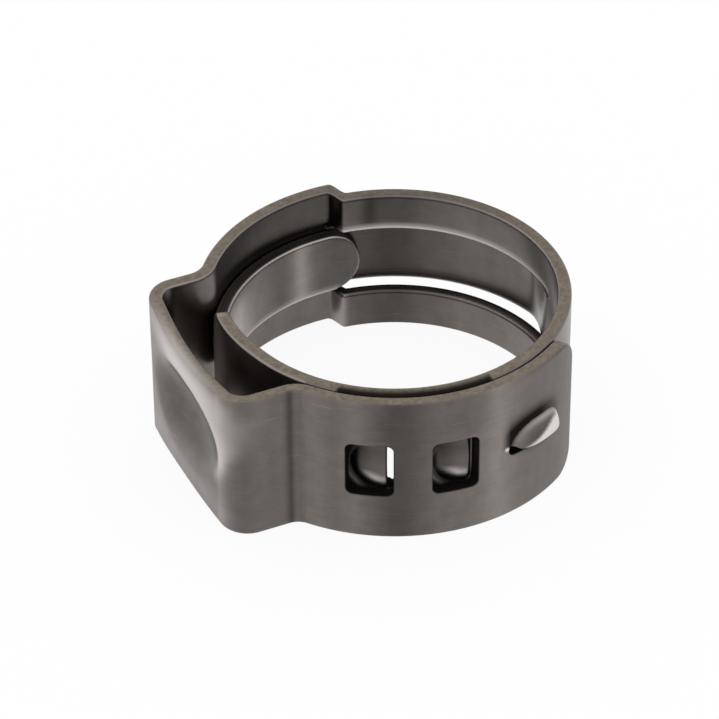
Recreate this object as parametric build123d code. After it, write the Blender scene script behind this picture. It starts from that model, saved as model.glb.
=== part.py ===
"""Stepless ear hose clamp: one stainless strip, punched, lanced, folded and hooked into itself.

The band axis is +Z and the clamp rests on its lower edge at z = 0.  The ear points along -X.
All angles are degrees counter-clockwise from +X, as seen from above.
"""
import os
from math import atan2, cos, degrees, pi, radians, sin, sqrt

from build123d import *

os.makedirs("parts", exist_ok=True)

# ---- driving dimensions (mm) ----
bore_radius = 6.95        # inside of the closed ring
strip = 0.6               # strip thickness
width = 7.0               # strip width
lap_gap = 0.04            # play between the two layers of the overlap
tongue_gap = 0.05         # play between the tongue and the raised strip over it
raise_height = 0.88       # how far the raised strip stands out from the ring
tongue_width = 3.0
shoulder_turn = 0.8       # corner radii where the tongue widens
side_strip = 1.9          # each side strip beside the raised middle strip
kerf = 0.25               # slot between a side strip and the middle strip
ear_width = 8.3           # inside of the ear, leg to leg
ear_height = 9.78         # ear's outer face from the band axis, at its corners
ear_bow = 0.2             # crown of the ear's outer face
ear_corner = 0.7          # inside radius of the two ear corners
front_foot = 0.8          # outside radius where the front leg meets the ring
back_foot = 1.0           # outside radius where the back leg meets the ring
edge_draw = 0.3           # how far the dish draws the ear's edges in
dish_length = 6.8
dish_height = 4.6
dish_depth = 0.9
dish_rim = 0.6            # blend round the dish, on both faces
window_length = 1.96
window_height = 2.6
window_corner = 0.3
hook_reach = 1.25         # length of each drawn hook, from its root to its cut face
hook_width = 2.0
hook_rise = 0.48          # rise of a drawn hook above the inner layer
hook_relief = 0.42        # opening ahead of each hook's cut face
relief_height = 2.5
nose_length = 3.1
nose_height = 1.15
nose_rise = 0.48
nose_slot = 0.35
nose_eye = 0.8            # round opening where the nose's slot begins
end_corner = 1.15         # corner radius of the free end

# ---- angles (degrees) ----
tongue_tip = 77.0
shoulder = 164.0          # where the tongue widens to the full strip
settle = 197.0            # where the inner layer has come down to the bore radius
joggle = (81.2, 87.4)     # side strips climb to the raised level
runout = (-4.5, 7.5)      # middle strip climbs from the ring
windows = (-122.5, -96.75)
nose_at = -68.0
free_end = -48.5

# ---- sizes that follow ----
mid = width / 2
lap_radius = bore_radius + strip + lap_gap
raised_radius = bore_radius + raise_height
tongue_radius = raised_radius - tongue_gap - strip
leg = ear_width / 2


def polar(radius, angle, z=0.0):
    """Point at a radius and angle about the band axis."""
    return Vector(radius * cos(radians(angle)), radius * sin(radians(angle)), z)


def around(angle):
    """Unit vector running counter-clockwise at an angle."""
    return Vector(-sin(radians(angle)), cos(radians(angle)))


def wall(edges, low, high):
    """Prism between two heights over the closed outline made by edges."""
    return extrude(Plane.XY.offset(low) * make_face(edges), high - low)


def arc_section(radius, start, end, low=0.0, high=width):
    """Strip bent round the axis at one inner radius."""
    half = (start + end) / 2
    far = radius + strip
    inner = ThreePointArc(polar(radius, start), polar(radius, half), polar(radius, end))
    outer = ThreePointArc(polar(far, start), polar(far, half), polar(far, end))
    return wall([inner, Line(inner @ 1, outer @ 1), outer, Line(outer @ 0, inner @ 0)], low, high)


def climb(first, last, start, end, begin, finish):
    """Edges from one angle to another, easing between two radii from begin to finish and round elsewhere."""
    steps = 4
    points = []
    for step in range(steps + 1):
        part = step / steps
        radius = first + (last - first) * part * part * (3 - 2 * part)
        points.append(polar(radius, begin + (finish - begin) * part))
    edges = [Spline(*points, tangents=(around(begin), around(finish)))]
    if begin > start:
        edges.insert(0, ThreePointArc(polar(first, start), polar(first, (start + begin) / 2), polar(first, begin)))
    if finish < end:
        edges.append(ThreePointArc(polar(last, finish), polar(last, (finish + end) / 2), polar(last, end)))
    return edges


def ramp_section(first, last, start, end, low=0.0, high=width):
    """Strip whose radius eases from first to last; the two faces are staggered to keep the wall even."""
    rise = last - first
    run = radians(end - start) * (first + last) / 2
    lead = degrees(strip * abs(rise) / (run + sqrt(run * run + rise * rise)) / first)
    lead = lead if lead > 1.5 else 0
    early = (start, end - lead)
    late = (start + lead, end)
    inner = climb(first, last, start, end, *(late if rise > 0 else early))
    outer = climb(first + strip, last + strip, start, end, *(early if rise > 0 else late))
    ends = [Line(inner[0] @ 0, outer[0] @ 0), Line(inner[-1] @ 1, outer[-1] @ 1)]
    return wall(inner + outer + ends, low, high)


def foot(radius, turn, side):
    """Centre of the fillet between a ring of inner radius and an ear leg, and the angle it touches at."""
    across = leg + strip + turn
    reach = radius + strip + turn
    along = sqrt(reach * reach - across * across)
    return Vector(-along, side * across), 180 - side * degrees(atan2(across, along))


def dome(length, breadth, rise, skin, place):
    """Solid dome on a plane: an arc over its length turned about an axis below the base plane.
    skin thickens (or thins) the dome all round."""
    big = (length * length / 4 + rise * rise) / (2 * rise)
    small = (breadth * breadth / 4 + rise * rise) / (2 * rise)
    reach = big + skin
    sink = small - rise
    half = sqrt(reach * reach - (big - small) ** 2)
    arc = ThreePointArc((-half, 0), (0, small + skin), (half, 0))
    body = revolve(make_face([arc, Line(arc @ 1, arc @ 0)]), Axis.X, 360)
    return place * Pos(0, 0, -sink) * body


def outward(angle, radius, z):
    """Plane whose x runs along the strip, y up the strip's width and z out from the axis."""
    return Plane(origin=polar(radius, angle, z), x_dir=around(angle), z_dir=polar(1, angle))


def corner_round(angle, radius, z):
    """Round bar across the strip's thickness, for turning a corner of the shoulder."""
    return outward(angle, radius, z) * Cylinder(shoulder_turn, 4)


# ---- ring, raised middle strip and raised back ----
slot_low = side_strip
slot_high = width - side_strip
ring = arc_section(bore_radius, settle - 360, runout[0])
ring += arc_section(bore_radius, runout[0], joggle[0], 0, slot_low)
ring += arc_section(bore_radius, runout[0], joggle[0], slot_high, width)
ring += ramp_section(bore_radius, raised_radius, *joggle, 0, slot_low)
ring += ramp_section(bore_radius, raised_radius, *joggle, slot_high, width)
ring += ramp_section(bore_radius, raised_radius, *runout, slot_low + kerf, slot_high - kerf)
ring += arc_section(raised_radius, runout[1], joggle[1], slot_low + kerf, slot_high - kerf)

# ---- ear, open on its ring side ----
back_centre, back_angle = foot(raised_radius, back_foot, 1)
front_centre, front_angle = foot(lap_radius, front_foot, -1)


def ear_line(offset):
    """Ear outline at an offset out from the strip's inner face, from the back foot to the front foot."""
    side = leg + offset
    turn = ear_corner + offset
    top = ear_height - strip + offset
    centre = side - turn
    slant = turn * (1 - sqrt(0.5))
    back_turn = back_foot + strip - offset
    front_turn = front_foot + strip - offset
    back_mid = radians((back_angle - 180 - 90) / 2)
    back_start = polar(raised_radius + offset, back_angle)
    back_end = Vector(back_centre.X, side)
    back_bend = back_centre - Vector(-cos(back_mid), -sin(back_mid)) * back_turn
    front_mid = radians((180 - front_angle - 90) / 2)
    front_start = Vector(front_centre.X, -side)
    front_end = polar(lap_radius + offset, front_angle)
    front_bend = front_centre - Vector(-cos(front_mid), sin(front_mid)) * front_turn
    return [
        ThreePointArc(back_start, back_bend, back_end),
        Line(back_end, (-(top - turn), side)),
        ThreePointArc((-(top - turn), side), (-(top - slant), side - slant), (-top, centre)),
        ThreePointArc((-top, centre), (-(top + ear_bow), 0), (-top, -centre)),
        ThreePointArc((-top, -centre), (-(top - slant), slant - side), (-(top - turn), -side)),
        Line((-(top - turn), -side), front_start),
        ThreePointArc(front_start, front_bend, front_end),
    ]


inside = ear_line(0)
outside = ear_line(strip)
ear = wall(
    inside + outside + [Line(inside[0] @ 0, outside[0] @ 0), Line(inside[-1] @ 1, outside[-1] @ 1)],
    0, width)

crown = ear_height + ear_bow
dish_face = Plane(origin=(-crown, 0, mid), x_dir=(0, -1, 0), z_dir=(1, 0, 0))
pressed = dome(dish_length, dish_height, dish_depth, strip, dish_face)
hollow = dome(dish_length, dish_height, dish_depth, 0, dish_face)
core = Pos(3 - ear_height + strip / 2, 0, mid) * Box(6, ear_width, width)
ear += pressed & core
ear -= hollow
ear = fillet(ear.edges().filter_by(lambda edge: edge.length > 2 * dish_length), dish_rim)


# the dish draws the ear's two edges in a little
draw_radius = (leg * leg + edge_draw * edge_draw) / (2 * edge_draw)
for level in (width - edge_draw + draw_radius, edge_draw - draw_radius):
    ear -= Pos(-ear_height, 0, level) * Rot(0, 90, 0) * Cylinder(draw_radius, 2.4)

# ---- back, under-ear tongue, inner layer and outer layer ----
tongue_low = mid - tongue_width / 2
tongue_high = mid + tongue_width / 2
back = arc_section(raised_radius, joggle[1], back_angle)
tongue = arc_section(tongue_radius, tongue_tip, shoulder, tongue_low, tongue_high)
tongue -= outward(tongue_tip, tongue_radius, mid) * Pos(tongue_width / 4, 0, 0) * (
    Box(tongue_width / 2, tongue_width + 1, 3) - Pos(tongue_width / 4, 0, 0) * Cylinder(tongue_width / 2, 3))
inner = ramp_section(tongue_radius, bore_radius, shoulder, settle)
web = degrees(shoulder_turn / (tongue_radius + strip / 2))
for side in (-1, 1):
    edge = mid + side * tongue_width / 2
    low, high = sorted((edge, edge + side * shoulder_turn))
    fill = arc_section(tongue_radius, shoulder - web, shoulder, low, high)
    tongue += fill - corner_round(shoulder - web, tongue_radius, edge + side * shoulder_turn)
    corner = outward(shoulder + web, tongue_radius, mid + side * (mid - shoulder_turn))
    spare = Pos(-shoulder_turn / 2, side * shoulder_turn / 2, 0) * Box(shoulder_turn, shoulder_turn, 3)
    inner -= corner * (spare - Cylinder(shoulder_turn, 4))
outer = arc_section(lap_radius, front_angle, 360 + free_end)

# round the free end's corners
end_turn = degrees(end_corner / (lap_radius + strip))
for level, flip in ((width - end_corner, 1), (end_corner, -1)):
    place = outward(free_end - end_turn, lap_radius, level)
    block = Pos(end_corner / 2 + 0.1, flip * (end_corner / 2 + 0.1), 0) * Box(
        end_corner + 0.2, end_corner + 0.2, 3)
    outer -= place * (block - Cylinder(end_corner, 4))

# ---- windows in the outer layer ----
for angle in windows:
    opening = Box(window_length, window_height, 1.6)
    opening = fillet(opening.edges().filter_by(Axis.Z), window_corner)
    outer -= outward(angle, lap_radius + strip / 2, mid) * opening

# ---- drawn hooks on the inner layer, each cut square toward the free end ----
front_layer = ring
for angle in windows:
    reach = (window_length / 2 - hook_relief + 0.1) / (bore_radius + strip)
    face = angle + degrees(reach)
    crown_plane = outward(face, bore_radius + strip, mid)
    ahead = Pos(5, 0, 0) * Box(10, 10, 10)
    shell = dome(2 * hook_reach, hook_width, hook_rise, 0, crown_plane)
    cave = dome(2 * hook_reach, hook_width, hook_rise, -strip, crown_plane)
    above = crown_plane * Pos(0, 0, 1 - strip / 2) * Box(6, 6, 2)
    front_layer += (shell & above) - crown_plane * ahead
    front_layer -= cave
    front_layer -= crown_plane * Pos(hook_relief / 2, 0, 0) * Box(hook_relief, relief_height, 3)

# ---- half-moon nose on the outer layer, lanced along its underside ----
lap_face = lap_radius + strip
nose_low = mid - nose_slot / 4
nose_plane = outward(nose_at, lap_face, nose_low)
nose_shell = dome(nose_length, 2 * nose_height, nose_rise, 0, nose_plane)
nose_cave = dome(nose_length, 2 * nose_height, nose_rise, -strip * 0.8, nose_plane)
nose_above = outward(nose_at, lap_face, nose_low + 1) * Pos(0, 0, 1 - strip / 2) * Box(5, 2, 2)
outer += nose_shell & nose_above
outer -= nose_cave
outer -= outward(nose_at, lap_face, nose_low - nose_slot / 2) * Box(nose_length, nose_slot, 2.4)
eye_at = Pos((nose_eye - nose_length) / 2, (nose_eye - nose_slot) / 2, 0)
outer -= outward(nose_at, lap_face, nose_low - nose_slot / 2) * eye_at * Cylinder(nose_eye / 2, 2.4)

result = front_layer + ear + back + tongue + inner + outer

export_step(result, "parts/clamp_band.step")
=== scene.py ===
"""Looks of a stepless ear hose clamp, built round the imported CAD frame.

The real clamp is one strip: a flat blank is punched, then its hooks, nose and dish are pressed, and last
it is rolled up and hooked into itself.  The script follows that order.  Lengths are in millimetres
until the mesh is written.  Angles are degrees counter-clockwise from +X, seen from above, and on the
ring they go on past 360, up to the ear's back foot.
"""

import bpy
import numpy as np
from mathutils import Matrix
from mathutils.geometry import delaunay_2d_cdt


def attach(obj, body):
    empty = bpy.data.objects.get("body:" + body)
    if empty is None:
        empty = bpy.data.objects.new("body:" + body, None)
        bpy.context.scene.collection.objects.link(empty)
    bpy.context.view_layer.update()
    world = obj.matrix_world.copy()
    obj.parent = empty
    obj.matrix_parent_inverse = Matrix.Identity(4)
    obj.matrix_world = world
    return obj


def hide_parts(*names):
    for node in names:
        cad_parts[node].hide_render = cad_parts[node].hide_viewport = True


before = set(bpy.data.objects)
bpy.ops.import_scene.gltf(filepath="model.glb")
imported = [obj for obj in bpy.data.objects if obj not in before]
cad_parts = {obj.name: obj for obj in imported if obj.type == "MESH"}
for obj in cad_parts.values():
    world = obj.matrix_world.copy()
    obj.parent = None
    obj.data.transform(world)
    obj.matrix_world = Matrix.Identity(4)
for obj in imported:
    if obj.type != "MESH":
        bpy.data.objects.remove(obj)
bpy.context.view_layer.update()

# ---------------------------------------------------------------------------------------------------
# Centre line of the strip.  Stainless strip 7 mm wide and 0.6 mm thick is rolled up from the tongue's tip:
# under the ear, round the ring, out over the joggle, up and over the ear, and back over the front as a
# second layer that ends at the free end.
# ---------------------------------------------------------------------------------------------------
WIDTH, STRIP = 7.0, 0.6
MID = WIDTH / 2
BORE = 6.95
CHANNEL_RISE, TONGUE_GAP, LAP_GAP = 0.88, 0.05, 0.04
RING = BORE + STRIP / 2
RAISED = RING + CHANNEL_RISE
TONGUE = RAISED - STRIP - TONGUE_GAP
LAP = RING + STRIP + LAP_GAP
# Angles: the tongue's tip, its shoulder, where the strip settles on the bore, the channel's run-out, the
# joggle up to the raised back, and the free end.
TIP, SHOULDER, SETTLE = 77.0, 164.0, 197.0
RUNOUT = (352.0, 376.0)
JOGGLE, JOGGLE_LEAD = (441.2, 447.4), 2.2
FREE_END = 311.5
EAR_INSIDE = 8.3
EAR_REACH = 9.78
EAR_BOW = 0.2
EAR_CORNER = 0.7
BACK_FOOT, FRONT_FOOT = 1.0, 0.8
TURN_STEP = 0.02
RING_SAMPLES, LINE_SAMPLES, LINE_AVERAGE = 40000, 16000, 9


def eased(angle, span, low, high):
    """Radius that goes from low to high over a span of angles, along half a cosine wave."""
    part = np.clip((angle - span[0]) / (span[1] - span[0]), 0, 1)
    return low + (high - low) * (0.5 - 0.5 * np.cos(np.pi * part))


def joggle_radius(angle, offset):
    """Radius added by the joggle at an offset out from the centre line.  The outer face starts to climb
    first and the inner face last, JOGGLE_LEAD apart, which keeps the wall even in so short a step."""
    shift = JOGGLE_LEAD * (0.5 - offset / STRIP)
    return eased(angle - shift, (JOGGLE[0], JOGGLE[1] - JOGGLE_LEAD), 0, RAISED - RING)


def ring_radius(angle):
    """Centre-line radius from the tongue's tip to the back foot, side strips of the channel included."""
    return eased(angle, (SHOULDER, SETTLE), TONGUE, RING) + joggle_radius(angle, 0)


def channel_radius(angle):
    """Centre-line radius of the raised middle strip, which leaves the ring at the run-out."""
    return eased(angle, RUNOUT, RING, RAISED)


def turn(centre, radius, start, end):
    """Points on a circle, TURN_STEP apart, from one angle to another."""
    count = max(int(radius * abs(np.radians(end - start)) / TURN_STEP), 2)
    angle = np.radians(np.linspace(start, end, count))
    return np.stack([centre[0] + radius * np.cos(angle), centre[1] + radius * np.sin(angle)], 1)


def foot(radius, bend, side):
    """Centre of the bend between a ring and an ear leg, and the angle at which it leaves the ring."""
    across = EAR_INSIDE / 2 + STRIP + bend
    reach = radius + STRIP / 2 + bend
    along = np.sqrt(reach ** 2 - across ** 2)
    return (-along, side * across), 180 - side * np.degrees(np.arctan2(across, along))


def walked(path):
    """Length of a path up to each of its points."""
    return np.r_[0, np.cumsum(np.linalg.norm(np.diff(path, axis=0), axis=1))]


def averaged(values, width):
    """Mean of each value and its neighbours, an odd number in all, with the end values held."""
    return np.convolve(np.pad(values, width // 2, mode="edge"), np.ones(width) / width, mode="valid")


back_centre, back_angle = foot(RAISED, BACK_FOOT, 1)
front_centre, front_angle = foot(LAP, FRONT_FOOT, -1)
leg = EAR_INSIDE / 2 + STRIP / 2
top = EAR_REACH - STRIP / 2
corner = EAR_CORNER + STRIP / 2
half_flat = leg - corner
bow_radius = (half_flat ** 2 + EAR_BOW ** 2) / (2 * EAR_BOW)
bow_turn = np.degrees(np.arcsin(half_flat / bow_radius))

ring_angles = np.linspace(TIP, 360 + back_angle, RING_SAMPLES)
ring_line = ring_radius(ring_angles)[:, None] * np.stack(
    [np.cos(np.radians(ring_angles)), np.sin(np.radians(ring_angles))], 1)
ear_line = [
    turn(back_centre, BACK_FOOT + STRIP / 2, back_angle - 180, -90),
    turn((-(top - corner), half_flat), corner, 90, 180 - bow_turn),
    turn((bow_radius - top - EAR_BOW, 0), bow_radius, 180 - bow_turn, 180 + bow_turn),
    turn((-(top - corner), -half_flat), corner, 180 + bow_turn, 270),
    turn(front_centre, FRONT_FOOT + STRIP / 2, 90, front_angle - 180),
]
lap_line = turn((0, 0), LAP, front_angle, FREE_END)
line = np.concatenate([ring_line, *ear_line, lap_line])
line = line[np.r_[True, np.linalg.norm(np.diff(line, axis=0), axis=1) > 1e-4]]
line_s = walked(line)
LENGTH = line_s[-1]
even_s = np.linspace(0, LENGTH, LINE_SAMPLES)
line = np.stack([np.interp(even_s, line_s, line[:, k]) for k in (0, 1)], 1)
heading = np.unwrap(np.arctan2(np.gradient(line[:, 1]), np.gradient(line[:, 0])))
heading = averaged(heading, LINE_AVERAGE)
ring_s = walked(ring_line)


def at_angle(angle):
    """Distance along the strip at an angle on the ring, tongue or raised back."""
    return np.interp(angle, ring_angles, ring_s)


def at_lap(angle):
    """Distance along the strip at an angle on the second layer."""
    return LENGTH - np.radians(FREE_END - angle) * LAP


# ---------------------------------------------------------------------------------------------------
# Blank.  The flat stainless strip as it leaves the punching tool: a round-tipped tongue, two slots that
# free the raised middle strip, two windows, two hook reliefs and one nose slot.  The slit and lanced edges
# are tumbled round, and the punched ones are sharper.
# ---------------------------------------------------------------------------------------------------
TONGUE_HALF = 1.5
SHOULDER_TURN = 0.8
END_CORNER = 1.15
SIDE_STRIP, KERF = 1.83, 0.06
CHANNEL_HALF = MID - SIDE_STRIP - KERF / 2
WINDOWS = (237.5, 263.25)
WINDOW_LENGTH, WINDOW_HEIGHT, WINDOW_CORNER = 1.96, 2.6, 0.3
HOOK_FACE_TURN = 5.01
HOOK_RELIEFS, RELIEF_HEIGHT, RELIEF_CORNER = (0.42, 0.16), 2.5, 0.08
NOSE_AT, NOSE_LENGTH, NOSE_SLOT, NOSE_EYE = 290.6, 2.72, 0.33, 0.25
NOSE_LOW = MID - NOSE_SLOT / 4
NOSE_SMOOTHINGS = 6
SLIT_ROUND, LANCE_ROUND, PUNCH_ROUND = 0.13, 0.18, 0.07
ROUND_STEPS = 4

# Mesh spacing in mm: along the ring, the lap and the ear, at the tightest bends, and the nearest that a
# point of the fill may be to a loop.  BEND_TURN is the most, in radians, that two columns turn by.
RING_STEP, LAP_STEP, EAR_STEP, BEND_STEP, NEAREST = 0.17, 0.13, 0.11, 0.055, 0.03
BEND_TURN = 0.075
SPACING_AVERAGE = 121
ROWS = 36
HOOK_PATCH, NOSE_PATCH = (2.3, 3.1, 0.07), (3.8, 3.0, 0.06)     # length, height and step of a finer lattice

ear_from, ear_to = ring_s[-1], at_lap(front_angle)
ear_s = (ear_from + ear_to) / 2


def columns():
    """Places along the strip where it is divided.  The spacing is the turn allowed over the bend, kept
    within its limits and averaged.  A column is set each time that length over spacing has grown by 1."""
    bend = np.abs(np.gradient(heading, even_s))
    spacing = np.clip(BEND_TURN / np.maximum(bend, 1e-6), BEND_STEP, RING_STEP)
    spacing = np.where((even_s > ear_from) & (even_s < ear_to), np.minimum(spacing, EAR_STEP), spacing)
    spacing = np.where(even_s > ear_to, np.minimum(spacing, LAP_STEP), spacing)
    spacing = averaged(spacing, SPACING_AVERAGE)
    passed = np.r_[0, np.cumsum(1 / spacing[1:] * np.diff(even_s))]
    number = int(passed[-1])
    return np.interp(np.arange(number) * passed[-1] / number, passed, even_s)


def arc_points(centre, radius, start, end, step=0.07):
    """Points on an arc in the blank's plane, end left out."""
    count = max(int(np.ceil(radius * abs(np.radians(end - start)) / step)), 3)
    angle = np.radians(np.linspace(start, end, count, endpoint=False))
    return np.stack([centre[0] + radius * np.cos(angle), centre[1] + radius * np.sin(angle)], 1)


def run_points(start, end, step=0.12):
    """Evenly spaced points on a straight run, end left out."""
    start, end = np.array(start, float), np.array(end, float)
    count = max(int(np.ceil(np.linalg.norm(end - start) / step)), 1)
    return start + (end - start) * np.linspace(0, 1, count, endpoint=False)[:, None]


def on_columns(start, end):
    """Points on a run along the strip, placed on the columns so that the mesh stays regular."""
    first, last = sorted((start[0], end[0]))
    between = cols[(cols > first + NEAREST) & (cols < last - NEAREST)]
    if end[0] < start[0]:
        between = between[::-1]
    return np.concatenate([[start], np.stack([between, np.full(between.size, start[1])], 1)])


def opening(centre, length, height, rounding, step=0.09):
    """Rounded rectangle, walked clockwise so that the metal lies on its left: at each corner a quarter
    circle, then a straight run to the next."""
    sides = np.array([(1, 1), (1, -1), (-1, -1), (-1, 1)])
    middles = centre + sides * (length / 2 - rounding, height / 2 - rounding)
    points = []
    for middle, following, start in zip(middles, np.roll(middles, -1, 0), (90, 0, -90, -180)):
        finish = np.radians(start - 90)
        out = rounding * np.array([np.cos(finish), np.sin(finish)])
        points.append(arc_points(middle, rounding, start, start - 90, 0.05))
        points.append(run_points(middle + out, following + out, step))
    return np.concatenate(points)


cols = columns()
shoulder_s = at_angle(SHOULDER)
low, high = MID - TONGUE_HALF, MID + TONGUE_HALF
end_in, end_up = LENGTH - END_CORNER, WIDTH - END_CORNER
turn_in, turn_out = shoulder_s - SHOULDER_TURN, shoulder_s + SHOULDER_TURN
outline = np.concatenate([
    arc_points((TONGUE_HALF, MID), TONGUE_HALF, 90, 270),
    on_columns((TONGUE_HALF, low), (turn_in, low)),
    arc_points((turn_in, low - SHOULDER_TURN), SHOULDER_TURN, 90, 0),
    arc_points((turn_out, SHOULDER_TURN), SHOULDER_TURN, 180, 270),
    on_columns((turn_out, 0), (end_in, 0)),
    arc_points((end_in, END_CORNER), END_CORNER, -90, 0),
    run_points((LENGTH, END_CORNER), (LENGTH, end_up)),
    arc_points((end_in, end_up), END_CORNER, 0, 90),
    on_columns((end_in, WIDTH), (turn_out, WIDTH)),
    arc_points((turn_out, WIDTH - SHOULDER_TURN), SHOULDER_TURN, 90, 180),
    arc_points((turn_in, high + SHOULDER_TURN), SHOULDER_TURN, 0, -90),
    on_columns((turn_in, high), (TONGUE_HALF, high)),
])
slot_from, slot_to = at_angle(RUNOUT[0]), at_angle(JOGGLE[1])
holes = [opening(((slot_from + slot_to) / 2, level), slot_to - slot_from, KERF, KERF * 0.49, 0.14)
         for level in (SIDE_STRIP + KERF / 2, WIDTH - SIDE_STRIP - KERF / 2)]
hook_faces = [at_angle(angle + HOOK_FACE_TURN) for angle in WINDOWS]
for angle, face, relief in zip(WINDOWS, hook_faces, HOOK_RELIEFS):
    holes.append(opening((at_lap(angle), MID), WINDOW_LENGTH, WINDOW_HEIGHT, WINDOW_CORNER))
    holes.append(opening((face + relief / 2, MID), relief, RELIEF_HEIGHT, RELIEF_CORNER, 0.07))

# The nose slot: a round eye at its left end, a straight run under the nose, and a half round on the right.
nose_s = at_lap(NOSE_AT)
nose_left, nose_right = nose_s - NOSE_LENGTH / 2, nose_s + NOSE_LENGTH / 2
eye = (nose_left + NOSE_EYE, NOSE_LOW - NOSE_SLOT + NOSE_EYE)
meet = np.degrees(np.arcsin((NOSE_EYE - NOSE_SLOT) / NOSE_EYE))
slot_end = (nose_right - NOSE_SLOT / 2, NOSE_LOW - NOSE_SLOT / 2)
nose_opening = np.concatenate([
    arc_points(eye, NOSE_EYE, 270, -meet, 0.06),
    run_points((eye[0] + NOSE_EYE * np.cos(np.radians(meet)), NOSE_LOW), (slot_end[0], NOSE_LOW), 0.06),
    arc_points(slot_end, NOSE_SLOT / 2, 90, -90, 0.05),
    run_points((slot_end[0], NOSE_LOW - NOSE_SLOT), (eye[0], NOSE_LOW - NOSE_SLOT), 0.06)])
for _ in range(NOSE_SMOOTHINGS):
    nose_opening = (np.roll(nose_opening, 1, 0) + 2 * nose_opening + np.roll(nose_opening, -1, 0)) / 4
holes.append(nose_opening)


def rings(loop, rounding):
    """Rings inside a loop for a rounded edge, and their heights above the middle surface.  Each lies one
    step of a quarter circle further into the metal: in by r(1 - cos), and r(1 - sin) below the face."""
    along = np.roll(loop, -1, 0) - np.roll(loop, 1, 0)
    inward = np.stack([-along[:, 1], along[:, 0]], 1) / np.linalg.norm(along, axis=1)[:, None]
    part = np.linspace(0, np.pi / 2, ROUND_STEPS + 1)
    into = rounding * (1 - np.cos(part))
    height = STRIP / 2 - rounding * (1 - np.sin(part))
    return [loop + inward * step for step in into], height


def inside(points, loop):
    """True where a point lies inside a loop.  A line across the strip crosses each loop twice, so the loop is
    split at its two ends, and a point is inside when its height is between those of the two chains."""
    loop = np.roll(loop, -loop[:, 0].argmin(), 0)
    end = loop[:, 0].argmax()
    chains = loop[:end + 1], np.concatenate([loop[end:], loop[:1]])[::-1]
    low, high = np.sort([np.interp(points[:, 0], chain[:, 0], chain[:, 1]) for chain in chains], axis=0)
    return ((points[:, 0] > loop[0, 0]) & (points[:, 0] < loop[end, 0])
            & (points[:, 1] > low) & (points[:, 1] < high))


def lattice(s_values, z_values):
    """Every pairing of two sets of coordinates, as rows."""
    grid = np.meshgrid(s_values, z_values, indexing="ij")
    return np.stack([part.ravel() for part in grid], 1)


def near(points, others, gap):
    """True where a point's cell in a square grid, one gap wide, touches the cell of one of the others.  A
    cell's number is its column times the cells that a column may have, plus its row."""
    column = 4096
    cells = np.floor(others / gap).astype(int)
    taken = (cells[:, None] + lattice([-1, 0, 1], [-1, 0, 1])).reshape(-1, 2)
    cells = np.floor(points / gap).astype(int)
    return np.isin(cells[:, 0] * column + cells[:, 1], taken[:, 0] * column + taken[:, 1])


# The outline and each opening, with the rings of its rounded edge.  Each ring is a closed run of edges.
flat, heights, pairs = [], [], []
rim_loops, last_rings = [], []
roundings = [SLIT_ROUND, LANCE_ROUND, LANCE_ROUND] + [PUNCH_ROUND] * (len(holes) - 2)
for loop, rounding in zip([outline] + holes, roundings):
    steps, height = rings(loop, rounding)
    for level, ring in enumerate(steps):
        start = sum(len(part) for part in flat)
        index = np.arange(len(ring)) + start
        flat.append(ring)
        heights.append(np.full(len(ring), height[level]))
        pairs.append(np.stack([index, np.roll(index, -1)], 1))
        if level == 0:
            rim_loops.append(index)
    last_rings.append(steps[-1])

# The fill between them: a lattice on the columns, finer over each hook and the nose.
fill = [lattice(cols, np.linspace(0, WIDTH, ROWS)[1:-1])]
patches = [(face - 0.7, *HOOK_PATCH) for face in hook_faces] + [(nose_s, *NOSE_PATCH)]
for centre, length, height, step in patches:
    fill = [part[(np.abs(part[:, 0] - centre) > length / 2) | (np.abs(part[:, 1] - MID) > height / 2)]
            for part in fill]
    fill.append(lattice(np.arange(centre - length / 2, centre + length / 2, step),
                        np.arange(MID - height / 2, MID + height / 2, step)))
fill = np.concatenate(fill)
keep = inside(fill, last_rings[0])
for hole in last_rings[1:]:
    keep &= ~inside(fill, hole)
fill = fill[keep]
fill = fill[~near(fill, np.concatenate(last_rings), NEAREST)]
flat.append(fill)
heights.append(np.full(len(fill), STRIP / 2))
flat, heights, pairs = np.concatenate(flat), np.concatenate(heights), np.concatenate(pairs)

# One triangulation of all of it, with the points' own numbers put back and the openings cleared.
found = delaunay_2d_cdt([tuple(point) for point in flat.tolist()], pairs.tolist(), [], 0, 1e-7, True)
own = np.array([first[0] for first in found[3]])
triangles = own[np.array(found[2])]
middle = flat[triangles].mean(1)
keep = inside(middle, outline)
for hole in holes:
    keep &= ~inside(middle, hole)
triangles = triangles[keep]
corners = flat[triangles]
area = np.cross(corners[:, 1] - corners[:, 0], corners[:, 2] - corners[:, 0])
triangles[area < 0] = triangles[area < 0][:, ::-1]

# ---------------------------------------------------------------------------------------------------
# Pressing and rolling.  The hooks and the nose are pressed outward and the dish in the ear inward, in the
# same cold strip, which draws the ear's edges in a little.  Then it is bent along its centre line, the
# middle strip of the channel further out than the side strips, and the hooks catch in their windows.
# ---------------------------------------------------------------------------------------------------
HOOK_REACH, HOOK_HALF, HOOK_RISE = 1.36, 1.25, 0.35
NOSE_HALF, NOSE_RISE = 0.9, 0.44
DISH_LENGTH, DISH_HEIGHT, DISH_DEPTH = 6.8, 4.6, 0.9
EDGE_DRAW, DRAW_REACH = 0.3, leg + 0.6
JOGGLE_MARGIN = 0.2
NORMAL_STEP = 0.004


def cap(across, up, fall=2.4, blend=0.05):
    """Rise of a pressed cap, 1 at its middle: 1 - q^fall, q being the distance from the middle as a share
    of the cap's half size, run out into the strip by a soft maximum with 0: half of x plus the root of x^2
    and 4 blend^2."""
    rise = 1 - np.hypot(across, up) ** fall
    return (rise + np.hypot(rise, 2 * blend)) / 2


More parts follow.
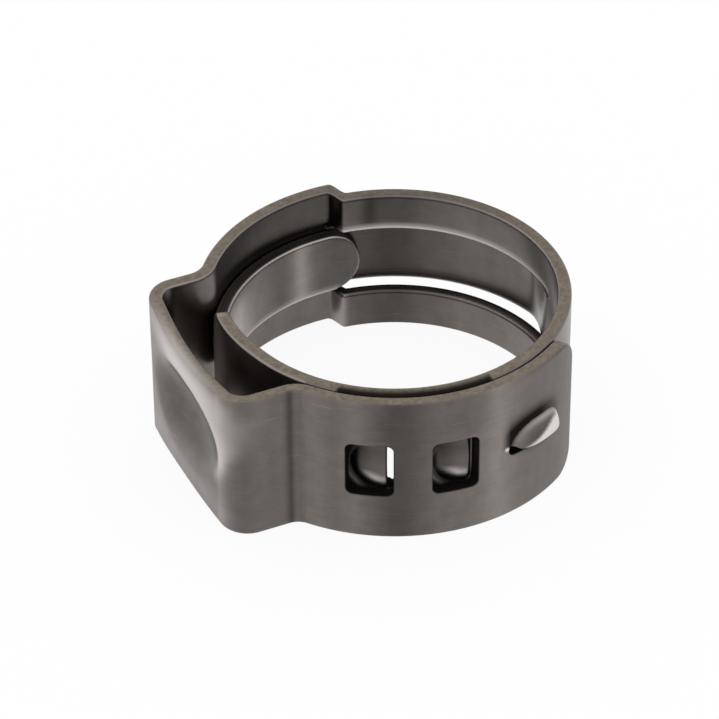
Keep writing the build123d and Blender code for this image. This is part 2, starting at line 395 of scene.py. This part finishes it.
def on_hook(s, z, face):
    """Place on a hook as shares of its reach and half width, measured from the middle of its cut face."""
    return (s - face) / HOOK_REACH, (z - MID) / HOOK_HALF


def on_nose(s, z):
    """Place on the nose as shares of its half length and height.  The power of 3 on the free end's side
    makes that end of its outline blunt."""
    across = (s - nose_s - 0.05) / (NOSE_LENGTH / 2 - 0.05)
    return np.where(across > 0, np.abs(across) ** 3, np.abs(across)), (z - NOSE_LOW) / NOSE_HALF


def on_dish(s, z):
    """Place in the dish as shares of its half length and half height."""
    return (s - ear_s) / (DISH_LENGTH / 2), (z - MID) / (DISH_HEIGHT / 2)


def pressing(s, z):
    """How far the strip's middle surface is pressed outward: a cap for each hook up to its cut face, half a
    cap for the nose above its slot, and, negative, a cap for the dish in the ear's flat."""
    out = np.zeros_like(s)
    for face, relief in zip(hook_faces, HOOK_RELIEFS):
        out += np.where(s < face + relief / 2, HOOK_RISE * cap(*on_hook(s, z, face), blend=0.1), 0)
    out += np.where(z > NOSE_LOW - NOSE_SLOT / 2, NOSE_RISE * cap(*on_nose(s, z)), 0)
    return out - DISH_DEPTH * cap(*on_dish(s, z), fall=2.0, blend=0.06)


def formed(s, z):
    """Place in space of a point of the strip's middle surface: on the centre line at s, moved along its
    normal by the pressing, at the height z, which the ear draws to the middle by a cosine squared."""
    x, y = np.interp(s, even_s, line[:, 0]), np.interp(s, even_s, line[:, 1])
    way = np.interp(s, even_s, heading)
    angle = np.interp(s, ring_s, ring_angles)
    channel = (np.abs(z - MID) < CHANNEL_HALF) & (angle > RUNOUT[0]) & (angle < JOGGLE[1])
    radius = channel_radius(angle)
    x = np.where(channel, radius * np.cos(np.radians(angle)), x)
    y = np.where(channel, radius * np.sin(np.radians(angle)), y)
    out = pressing(s, z)
    draw = EDGE_DRAW * np.cos(np.clip((s - ear_s) / DRAW_REACH, -1, 1) * np.pi / 2) ** 2
    height = MID + (z - MID) * (1 - draw / MID)
    return np.stack([x + out * np.sin(way), y - out * np.cos(way), height], 1)


def skin(s, z, offset):
    """Point at an offset from the formed middle surface, along the normal found from small steps in s and
    z.  On the joggle of the side strips the radius is the joggle's own at that offset."""
    along = formed(s + NORMAL_STEP, z) - formed(s - NORMAL_STEP, z)
    across = formed(s, z + NORMAL_STEP) - formed(s, z - NORMAL_STEP)
    normal = np.cross(along, across)
    normal /= np.linalg.norm(normal, axis=1)[:, None]
    point = formed(s, z) + normal * offset[:, None]
    angle = np.interp(s, ring_s, ring_angles)
    step_up = ((angle > JOGGLE[0] - JOGGLE_MARGIN) & (angle < JOGGLE[1] + JOGGLE_MARGIN)
               & (np.abs(z - MID) > CHANNEL_HALF))
    radius = RING + joggle_radius(angle, offset) + offset
    point[step_up, 0] = (radius * np.cos(np.radians(angle)))[step_up]
    point[step_up, 1] = (radius * np.sin(np.radians(angle)))[step_up]
    return point


# Outer face, inner face, and the wall that joins their rims at the outline and at each opening.
s, z = flat[:, 0], flat[:, 1]
count = len(flat)
points = np.concatenate([skin(s, z, heights), skin(s, z, -heights)])
walls = []
for rim in rim_loops:
    following = np.roll(rim, -1)
    walls.append(np.stack([rim + count, following + count, following, rim], 1))
walls = np.concatenate(walls)
faces = triangles.tolist() + (triangles[:, ::-1] + count).tolist() + walls.tolist()
mesh = bpy.data.meshes.new("clamp_strip")
mesh.from_pydata((points / 1000).tolist(), [], faces)
mesh.shade_smooth()
uv = mesh.uv_layers.new(name="blank")
corner_index = np.empty(len(mesh.loops), np.int32)
mesh.loops.foreach_get("vertex_index", corner_index)
uv.data.foreach_set("uv", flat[corner_index % count].ravel())

# ---------------------------------------------------------------------------------------------------
# Painted light and shade on the strip, as numbers on its points: light and dark bands of painted
# reflection and shade across the steel, painted highlights on its edges and pressed places, and painted
# shade in its recesses, round its openings and on its lanced edges.
# ---------------------------------------------------------------------------------------------------
# Bands of tone, which are painted reflection and shade: place, half width and strength.  Places are
# degrees, or mm back from the front foot's end.  Plain steel has the tone 1.  The tongue's outer face is
# hidden and painted lighter.
FRONT_BANDS = ((246, 8, -0.5), (276.5, 5, 0.5), (306, 8, -0.25), (222, 3, 0.2), (311.5, 1.0, -0.4))
FRONT_SMUDGE, SMUDGE_ABOVE = ((268, 6, -0.2),), 4.9
FOOT_BANDS = ((0.9, 0.2, -0.55), (0.35, 0.2, -0.15), (1.7, 0.5, -0.12), (2.9, 0.35, -0.2),
              (3.8, 0.2, 0.4), (-0.8, 0.5, -0.15), (-2.0, 0.4, 0.15))
SIDE_BANDS, SIDE_TO = ((427, 15, -0.5), (375, 14, 0.15)), 448
UPPER_SIDE_BAND = ((434, 2.2, -0.28),)
CHANNEL_BAND = ((363, 6, 0.9),)
TONGUE_BANDS = ((100, 3, 0.75), (139, 8, 1.2), (84, 9, -0.35), (110, 5, -0.25))
# The insides of the raised back and of the ear are painted darker, as shade.
BACK_FROM, BACK_TONE, BACK_LOW_TONE, BACK_BAND = 446, -0.42, -0.1, ((493, 12, 0.25),)
EAR_INSIDE_TONE, HIDDEN_TONE = -0.05, 0.8

# A tone is stored as a share of TONE_RANGE, and the rolled colours are written for its upper end.
TONE_RANGE = 1.9


def bell(x, middle, half):
    """Smooth bump, 1 at its middle and 0.5 a half width away: 2 to the power of minus the square."""
    return 2.0 ** -(((x - middle) / half) ** 2)


def banded(place, where, bands):
    """Sum of bells, each a middle, a half width and a strength, on the points in where."""
    return np.where(where, sum(strength * bell(place, middle, half) for middle, half, strength in bands), 0)


def share(values):
    """Values kept between 0 and 1."""
    return np.clip(values, 0, 1)


def paint(name, values):
    """Stores one share per point of the mesh."""
    layer = mesh.attributes.new(name, "FLOAT", "POINT")
    layer.data.foreach_set("value", share(values))


outer = np.arange(2 * count) < count
inner = ~outer
s, z = np.tile(s, 2), np.tile(z, 2)
lap_at = FREE_END - np.degrees((LENGTH - s) / LAP)
ring_at = np.interp(s, ring_s, ring_angles)
round_ring, on_lap = s < ear_from, s > ear_to
on_ear = (s > ear_from) & (s < ear_to)
on_ring = (ring_at > 340) & round_ring
on_channel = inner & (ring_at > RUNOUT[0]) & (ring_at < 445) & round_ring
lip = WIDTH - SIDE_STRIP
middle_strip = (inner & on_ring & (ring_at > RUNOUT[0]) & (ring_at < 447)
                & (np.abs(z - MID) < MID - SIDE_STRIP))

# How far down a rounded edge a point lies, in roundings of a slit edge, and which edge it is on.
rim = np.tile(STRIP / 2 - heights, 2) / SLIT_ROUND
of_outline = np.tile(np.arange(count) < (ROUND_STEPS + 1) * len(outline), 2)
slit, tongue_edge = of_outline & (s > turn_out), of_outline & (s < turn_in)
turned = rim > 0.01

# The tone: painted reflection and shade in bands along the strip.
tone = np.ones_like(s)
tone += banded(lap_at, outer & on_lap, FRONT_BANDS)
tone += banded(lap_at, outer & on_lap & (z > SMUDGE_ABOVE), FRONT_SMUDGE)
tone += banded(ear_to - s, outer, FOOT_BANDS)
tone += banded(ring_at, inner & on_ring & (ring_at < SIDE_TO), SIDE_BANDS)
tone += banded(ring_at, inner & on_ring & (z > 5), UPPER_SIDE_BAND)
tone += banded(ring_at, middle_strip, CHANNEL_BAND)
tone -= np.where(middle_strip, 0.13 * share((ring_at - 366) / 10), 0)
tone += banded(ring_at, inner & (ring_at < 200), TONGUE_BANDS)
tone += np.where(inner & round_ring & (ring_at > BACK_FROM), np.where(z > 2.5, BACK_TONE, BACK_LOW_TONE), 0)
tone += banded(ring_at, inner & round_ring & (z > 2.5), BACK_BAND)
tone += np.where(inner & on_ear, EAR_INSIDE_TONE, 0) + np.where(outer & (ring_at < 215), HIDDEN_TONE, 0)
# Painted shade, taken off the tone: on the hooks' faces, the nose's crown and the dish's bowl.
shade = np.zeros_like(s)

# Painted highlights: on the tongue's rim and lower edge, the lips of the channel's slots, the upper slit
# edge and the foot of the lower joggle.
painted_highlight = banded(rim, inner & tongue_edge & turned, ((0.3, 0.2, 0.6),))
painted_highlight += banded(z, on_channel & (z > lip - KERF / 2) & ~of_outline, ((lip + 0.02, 0.17, 1.1),))
painted_highlight += banded(z, on_channel & (z < MID) & (z > SIDE_STRIP + KERF / 2),
              ((SIDE_STRIP + KERF + 0.1, 0.13, 0.5),))
painted_highlight += banded(z, inner & (s < turn_in) & (z < MID), ((low + 0.08, 0.1, 0.45),))
painted_highlight += banded(rim, inner & slit & (z > MID) & turned, ((0.25, 0.2, 0.2),))
painted_highlight += banded(ring_at, inner & (z < SIDE_STRIP), ((444.5, 1.3, 0.25),))

# Painted shade: on the edges of the openings, the tongue's wall and a stretch of the upper slit edge.
lanced = round_ring & (ring_at > 350)
painted_shade = np.where(~of_outline, np.where(lanced, 0.9 * outer, 0.95) * share(rim * 2), 0)
painted_shade += np.where(tongue_edge, 0.85 * share(rim * 2 - 0.8), 0)
painted_shade += banded(ring_at, slit & on_ring & (z > MID), ((415, 40, 0.25),))

# Hooks: painted highlights in a crescent low on the dome and a fine one at its foot, and painted shade on
# the face and all round.
for face in hook_faces:
    across, upward = on_hook(s, z, face)
    far = np.hypot(across, upward)
    here = outer & (s < face + 0.1) & (s > face - 2.1)
    painted_highlight += np.where(here, bell(far, 0.57, 0.14) * share(-3 * upward - 0.4) * share(1.5 + 1.6 * across), 0)
    painted_highlight += np.where(here, 0.5 * bell(far, 1.24, 0.08) * share(-3 * across - 1.6) * (upward < 0.1), 0)
    shadow = 0.25 + 0.3 * bell(across, -0.75, 0.25) + 0.2 * bell(upward, 0.55, 0.3)
    shade += np.where(here & (far < 1.1), shadow, 0)
    painted_shade += np.where(outer & (s < face + 1.1) & (s > face - 2.1), np.clip((far - 1.0) * 6, 0, 0.93), 0)

# Nose: painted highlights in a band above the slot that widens to the right and in a fine arc under its
# crown, a painted glint at the slot's eye, painted shade and reflection of the nose round its upper left
# side, and painted shade on its crown.
across, upward = on_nose(s, z)
far = np.hypot(across, upward)
along_nose = (s - nose_s) / (NOSE_LENGTH / 2)
here = outer & on_lap
band = 0.52 * np.clip(along_nose + 0.65, 0, 1.25)
painted_highlight += np.where(here & (far < 1.1) & (along_nose < 1) & (upward > -0.15), share((band - upward) * 7), 0)
painted_highlight += np.where(here, 0.35 * bell(far, 0.82, 0.08) * share(along_nose + 0.8) * (upward > 0.3), 0)
painted_highlight += banded(np.hypot(s - nose_left + 0.1, z - NOSE_LOW - 0.1), here, ((0, 0.07, 2),))
halo = np.where(far > 0.98, share(1.7 * bell(far, 1.0, 0.55)), bell(far, 0.98, 0.07))
halo *= share(1.2 - 0.9 * along_nose) * share(upward * 3 + 0.3) * share((s - nose_left + 0.4) * 2.2)
painted_shade += np.where(here, 0.97 * halo, 0)
shade += banded(far, here & (far < 0.8), ((0.3, 0.35, 0.38),))

# Dish: a painted highlight on the flange past its rim, towards the front foot and the upper edge, painted
# highlights along the edges of the flat beside it, painted shade in a spot on its upper rim towards the
# back, and painted shade in the bowl.
across, upward = on_dish(s, z)
far = np.hypot(across, upward)
beyond = np.hypot(s - ear_s, z - MID) * (1 - 1 / np.maximum(far, 0.05))
here = outer & on_ear
flange = bell(beyond, 0.1, 0.25 + 0.9 * share(upward)) * share((far - 0.95) * 14)
painted_highlight += np.where(here, flange * np.clip(0.7 * across + 0.9 * upward, 0, 0.72), 0)
painted_highlight += banded(z, here, ((0.7, 0.6, 0.12), (6.3, 0.45, 0.16))) * share((4.2 - np.abs(s - ear_s)) * 2)
painted_shade += np.where(here, 0.4 * bell(across, -0.3, 0.2) * bell(upward, 0.62, 0.2), 0)
shade += np.where(here, 0.22 * share((0.95 - far) * 6), 0)

# On the points: the tone with its painted reflection and shade, the slit edge, painted highlights and painted
# shade.
paint("tone", (tone - shade) / TONE_RANGE)
paint("sheared", np.where(slit, share(rim * 1.6 - 0.4), 0))
paint("painted_highlight", painted_highlight)
paint("painted_shade", painted_shade * (1 - share(painted_highlight)))
mesh.validate()
strip = bpy.data.objects.new("clamp_strip", mesh)
bpy.context.collection.objects.link(strip)
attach(strip, "root")
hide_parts("clamp_band")

# ---------------------------------------------------------------------------------------------------
# Rolled stainless.  Cold-rolled stainless strip, slit to width, formed cold and then tumbled.  To the eye
# it is a brown-grey semi-gloss with fine lengthwise roll lines and soft stain, duller and olive-brown where
# it was slit, pale where highlights are painted, and nearly black where shade is painted.
# ---------------------------------------------------------------------------------------------------
ROLLED, STREAK, STAIN = ("#8b8480", "#a09893"), ("#8b8480", "#a59d98"), ("#857c75", "#a59e9b")
STREAK_SHARE, STAIN_SHARE, SCRATCH_SHARE = 0.45, 0.28, 0.15
# The pale colour is painted highlight and the near-black one painted shade.
SLIT_EDGE, SCRATCH, HIGHLIGHT_PALE, SHADE_DARK = ("#696055", "#857c6f"), "#c9c1bd", "#e6dedb", "#1c1816"
ROLLED_ROUGHNESS, SLIT_ROUGHNESS, HIGHLIGHT_ROUGHNESS, SHADE_ROUGHNESS = (0.28, 0.33), 0.45, 0.5, 0.8
LINE_DEPTH = 0.03

# Spots to a millimetre, along and across the blank.  Forming bands lie 1.8 mm apart and reach right across,
# and stains are 0.8 mm wide.  Real roll lines are about 0.02 mm wide, scratches 0.01 mm and the grain of a
# slit edge 0.05 mm.  They are drawn 0.11, 0.07 and 0.19 mm wide, so that they show.
BANDS, LINES, STAINS, SCRATCHES, GRAINS = (0.55, 0.06, 1), (0.35, 9.0, 1), 1.3, (0.4, 14.0, 1), 5.2
SCRATCH_TILT = 0.012


def linear(colour):
    """sRGB hex to linear RGBA: c / 12.92 up to 0.04045, and ((c + 0.055) / 1.055)^2.4 above."""
    parts = [int(colour[i:i + 2], 16) / 255 for i in (1, 3, 5)]
    return [p / 12.92 if p <= 0.04045 else ((p + 0.055) / 1.055) ** 2.4 for p in parts] + [1]


def add(tree, kind, links=(), values=(), **settings):
    """A shader node with its settings, its sockets' values and its links, each a node, its output and a
    socket."""
    node = tree.nodes.new(kind)
    for key, value in settings.items():
        setattr(node, key, value)
    for socket, value in dict(values).items():
        node.inputs[socket].default_value = value
    for source, output, socket in links:
        tree.links.new(source.outputs[output], node.inputs[socket])
    return node


steel = bpy.data.materials.new("rolled_stainless")
steel.use_nodes = True
tree = steel.node_tree
tree.nodes.clear()
blank = add(tree, "ShaderNodeUVMap", uv_map="blank")
tone_of, sheared, highlight_paint, shade_paint = [
    add(tree, "ShaderNodeAttribute", attribute_name=name) for name in ("tone", "sheared", "painted_highlight", "painted_shade")]

# Rolled face: forming bands, roll lines and stain, times the painted tone.  In a colour's Mix node the
# factor is socket 0, the two colours are sockets 6 and 7, and the result is output 2.
band_place = add(tree, "ShaderNodeMapping", [(blank, "UV", "Vector")], {"Scale": BANDS})
band = add(tree, "ShaderNodeTexNoise", [(band_place, "Vector", "Vector")],
           {"Scale": 1.0, "Detail": 3.0, "Roughness": 0.6})
line_place = add(tree, "ShaderNodeMapping", [(blank, "UV", "Vector")], {"Scale": LINES})
fine = add(tree, "ShaderNodeTexNoise", [(line_place, "Vector", "Vector")],
           {"Scale": 1.0, "Detail": 5.0, "Roughness": 0.6})
cloud = add(tree, "ShaderNodeTexNoise", [(blank, "UV", "Vector")],
            {"Scale": STAINS, "Detail": 4.0, "Roughness": 0.6})
band_share = add(tree, "ShaderNodeMapRange", [(band, "Fac", "Value")], {"From Min": 0.35, "From Max": 0.65})
fine_share = add(tree, "ShaderNodeMapRange", [(fine, "Fac", "Value")], {"From Min": 0.3, "From Max": 0.7})
cloud_share = add(tree, "ShaderNodeMapRange", [(cloud, "Fac", "Value")],
                  {"From Min": 0.35, "From Max": 0.65})
rolled = add(tree, "ShaderNodeMix", [(band_share, "Result", 0)],
             {6: linear(ROLLED[0]), 7: linear(ROLLED[1])}, data_type="RGBA")
streaks = add(tree, "ShaderNodeMix", [(fine_share, "Result", 0)],
              {6: linear(STREAK[0]), 7: linear(STREAK[1])}, data_type="RGBA")
rolled = add(tree, "ShaderNodeMix", [(rolled, 2, 6), (streaks, 2, 7)], {0: STREAK_SHARE}, data_type="RGBA")
stain = add(tree, "ShaderNodeMix", [(cloud_share, "Result", 0)],
            {6: linear(STAIN[0]), 7: linear(STAIN[1])}, data_type="RGBA")
rolled = add(tree, "ShaderNodeMix", [(rolled, 2, 6), (stain, 2, 7)], {0: STAIN_SHARE}, data_type="RGBA")
toned = add(tree, "ShaderNodeVectorMath", [(rolled, 2, "Vector"), (tone_of, "Fac", "Scale")],
            operation="SCALE")

# Slit edge, a few scratches nearly along the strip, painted highlights and painted shade, one over the other.
spot = add(tree, "ShaderNodeTexCoord")
grain = add(tree, "ShaderNodeTexNoise", [(spot, "Object", "Vector")],
            {"Scale": GRAINS * 1000, "Detail": 3.0, "Roughness": 0.6})
grain_share = add(tree, "ShaderNodeMapRange", [(grain, "Fac", "Value")], {"From Min": 0.3, "From Max": 0.7})
cut = add(tree, "ShaderNodeMix", [(grain_share, "Result", 0)],
          {6: linear(SLIT_EDGE[0]), 7: linear(SLIT_EDGE[1])}, data_type="RGBA")
colour = add(tree, "ShaderNodeMix", [(toned, "Vector", 6), (cut, 2, 7), (sheared, "Fac", 0)],
             data_type="RGBA")
scratch_place = add(tree, "ShaderNodeMapping", [(blank, "UV", "Vector")],
                    {"Scale": SCRATCHES, "Rotation": (0, 0, SCRATCH_TILT)})
scratch = add(tree, "ShaderNodeTexNoise", [(scratch_place, "Vector", "Vector")],
              {"Scale": 1.0, "Detail": 1.0})
scratch_share = add(tree, "ShaderNodeMapRange", [(scratch, "Fac", "Value")],
                    {"From Min": 0.7, "From Max": 0.78, "To Max": SCRATCH_SHARE})
colour = add(tree, "ShaderNodeMix", [(colour, 2, 6), (scratch_share, "Result", 0)],
             {7: linear(SCRATCH)}, data_type="RGBA")
colour = add(tree, "ShaderNodeMix", [(colour, 2, 6), (highlight_paint, "Fac", 0)],
             {7: linear(HIGHLIGHT_PALE)}, data_type="RGBA")
colour = add(tree, "ShaderNodeMix", [(colour, 2, 6), (shade_paint, "Fac", 0)],
             {7: linear(SHADE_DARK)}, data_type="RGBA")

# Roughness follows the roll lines, the slit edge and the places of painted highlight and shade.  Lines and
# stains are a relief up to LINE_DEPTH deep.
dull = add(tree, "ShaderNodeMapRange", [(fine, "Fac", "Value")],
           {"From Min": 0.3, "From Max": 0.7, "To Min": ROLLED_ROUGHNESS[0], "To Max": ROLLED_ROUGHNESS[1]})
dull = add(tree, "ShaderNodeMix", [(dull, "Result", "A"), (sheared, "Fac", "Factor")], {"B": SLIT_ROUGHNESS})
dull = add(tree, "ShaderNodeMix", [(dull, "Result", "A"), (highlight_paint, "Fac", "Factor")], {"B": HIGHLIGHT_ROUGHNESS})
dull = add(tree, "ShaderNodeMix", [(dull, "Result", "A"), (shade_paint, "Fac", "Factor")], {"B": SHADE_ROUGHNESS})
relief = add(tree, "ShaderNodeMix", [(fine, "Fac", "A"), (cloud, "Fac", "B")], {"Factor": 0.7})
bump = add(tree, "ShaderNodeBump", [(relief, "Result", "Height")],
           {"Strength": 0.1, "Distance": LINE_DEPTH / 1000})
shader = add(tree, "ShaderNodeBsdfPrincipled", [
    (colour, 2, "Base Color"), (dull, "Result", "Roughness"), (bump, "Normal", "Normal")], {"Metallic": 1.0})
add(tree, "ShaderNodeOutputMaterial", [(shader, "BSDF", "Surface")])
mesh.materials.append(steel)

# ---------------------------------------------------------------------------------------------------
# Floor, soft light and camera.  The clamp stands on matt white paper, in even light from all round, and is
# seen from 37 degrees up through a long lens.  Names that end in M are in metres.
# ---------------------------------------------------------------------------------------------------
FLOOR_HALF_M = 0.6
WHITE_SHARE = 0.92
CAMERA_LIFT, CAMERA_ROLL, CAMERA_TURN = 36.98, -0.38, -24.5
CAMERA_FAR, CAMERA_RIGHT, CAMERA_UP = 165.76, -1.522, 2.551
CAMERA_SENSOR, CAMERA_LENS, CAMERA_NEAR_M = 36, 190.0, 0.01

half = FLOOR_HALF_M
floor_mesh = bpy.data.meshes.new("floor")
floor_mesh.from_pydata([(-half, -half, 0), (half, -half, 0), (half, half, 0), (-half, half, 0)],
                       [], [(0, 1, 2, 3)])
floor = bpy.data.objects.new("floor", floor_mesh)
bpy.context.collection.objects.link(floor)

# White paper: smooth and matt, it only scatters light.  The camera and mirror rays see WHITE_SHARE of it as
# plain white, and the rest keeps the clamp's shadow.
paper = bpy.data.materials.new("white_paper")
paper.use_nodes = True
tree = paper.node_tree
tree.nodes.clear()
path = add(tree, "ShaderNodeLightPath")
seen = add(tree, "ShaderNodeMath", [(path, "Is Camera Ray", 0), (path, "Is Glossy Ray", 1)],
           operation="MAXIMUM")
white = add(tree, "ShaderNodeMath", [(seen, "Value", 0)], {1: WHITE_SHARE}, operation="MULTIPLY")
matt = add(tree, "ShaderNodeBsdfDiffuse", (), {"Color": linear("#fafafa")})
glow = add(tree, "ShaderNodeEmission", (), {"Color": linear("#ffffff"), "Strength": 1.0})
mixed = add(tree, "ShaderNodeMixShader", [(white, "Value", 0), (matt, "BSDF", 1), (glow, "Emission", 2)])
add(tree, "ShaderNodeOutputMaterial", [(mixed, "Shader", "Surface")])
floor_mesh.materials.append(paper)

studio = bpy.data.worlds.new("studio")
bpy.context.scene.world = studio
studio.use_nodes = True
studio.node_tree.nodes["Background"].inputs["Color"].default_value = (1, 1, 1, 1)
studio.node_tree.nodes["Background"].inputs["Strength"].default_value = 1.0
bpy.context.scene.view_settings.view_transform = "Standard"

# The camera looks at the origin from CAMERA_FAR mm, tipped down by its lift, rolled, moved aside and up in
# its own plane, and turned about the clamp's axis.
lift, roll, spin = np.radians([CAMERA_LIFT, CAMERA_ROLL, CAMERA_TURN])
forward = np.array([0, np.cos(lift), -np.sin(lift)])
right, up = np.array([1, 0, 0]), np.array([0, np.sin(lift), np.cos(lift)])
right, up = np.cos(roll) * right + np.sin(roll) * up, np.cos(roll) * up - np.sin(roll) * right
stand = -CAMERA_FAR * forward + CAMERA_RIGHT * right + CAMERA_UP * up
about = np.array([[np.cos(spin), -np.sin(spin), 0], [np.sin(spin), np.cos(spin), 0], [0, 0, 1]])
pose = np.eye(4)
pose[:3, :] = about @ np.stack([right, up, -forward, stand / 1000], 1)
camera = bpy.data.objects.new("camera", bpy.data.cameras.new("camera"))
camera.data.sensor_width = CAMERA_SENSOR
camera.data.lens = CAMERA_LENS
camera.data.clip_start = CAMERA_NEAR_M
camera.matrix_world = Matrix(pose.tolist())
bpy.context.collection.objects.link(camera)
bpy.context.scene.camera = camera
